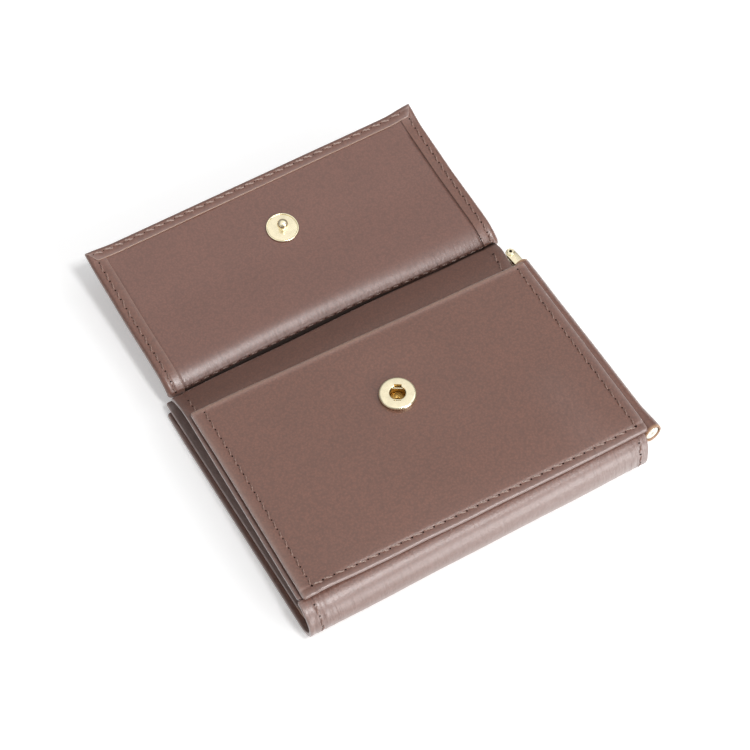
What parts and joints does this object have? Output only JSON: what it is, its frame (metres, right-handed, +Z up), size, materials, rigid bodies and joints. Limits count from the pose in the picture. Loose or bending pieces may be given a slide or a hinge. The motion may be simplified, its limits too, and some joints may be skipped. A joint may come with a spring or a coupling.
{
  "type": "money clip wallet",
  "caption": "Brown leather bifold money clip wallet with a snap-flap coin pocket on top and a swing-out brass note clip in a leather tunnel along its edge.",
  "frame": {"origin": "on the underside of the bottom cover, below the middle of the coin pocket panel", "axes": "+Z up from the table, X along the fold, +Y from the fold towards the open flap"},
  "size_m": [0.1068, 0.1273, 0.015],
  "materials": {
    "leather": "smooth, semi-matt",
    "lining": "smooth, semi-matt",
    "board": "bonded leather fibre, matt",
    "brass": "polished"
  },
  "bodies": {
    "bottom_half": {"bottom_cover": "leather", "bottom_lining": "lining", "card_pocket_back": "lining", "card_pocket_front": "lining", "spine_leather": "leather", "spine_lining": "lining"},
    "top_half": {"top_cover": "leather", "top_lining": "lining", "coin_pocket_panel": "leather", "flap_hinge_leather": "leather", "clip_tunnel": "leather", "snap_socket": "brass", "snap_spring_front": "brass", "snap_spring_rear": "brass", "snap_eyelet": "brass", "clip_rail": "brass", "clip_rivet": "brass", "clip_washer": "brass"},
    "flap": {"flap_leather": "leather", "flap_board": "board", "flap_lining": "lining", "snap_stud": "brass", "snap_stud_back": "brass"},
    "clip_arm": {"clip_arm": "brass"}
  },
  "joints": [
    {"name": "bifold_hinge", "type": "hinge", "parent": "bottom_half", "child": "top_half", "pos_m": [0, -0.0296, 0.0058], "axis": [1, 0, 0], "range_deg": [0, 180], "deforming": ["spine_leather", "spine_lining"]},
    {"name": "flap_hinge", "type": "hinge", "parent": "top_half", "child": "flap", "pos_m": [0, 0.0417, 0.01135], "axis": [1, 0, 0], "range_deg": [-12.5, 173], "deforming": ["flap_hinge_leather"]},
    {"name": "clip_arm_pivot", "type": "hinge", "parent": "top_half", "child": "clip_arm", "pos_m": [0.0502, 0.0355, 0.00615], "axis": [0, 0, 1], "range_deg": [0, 110]}
  ]
}
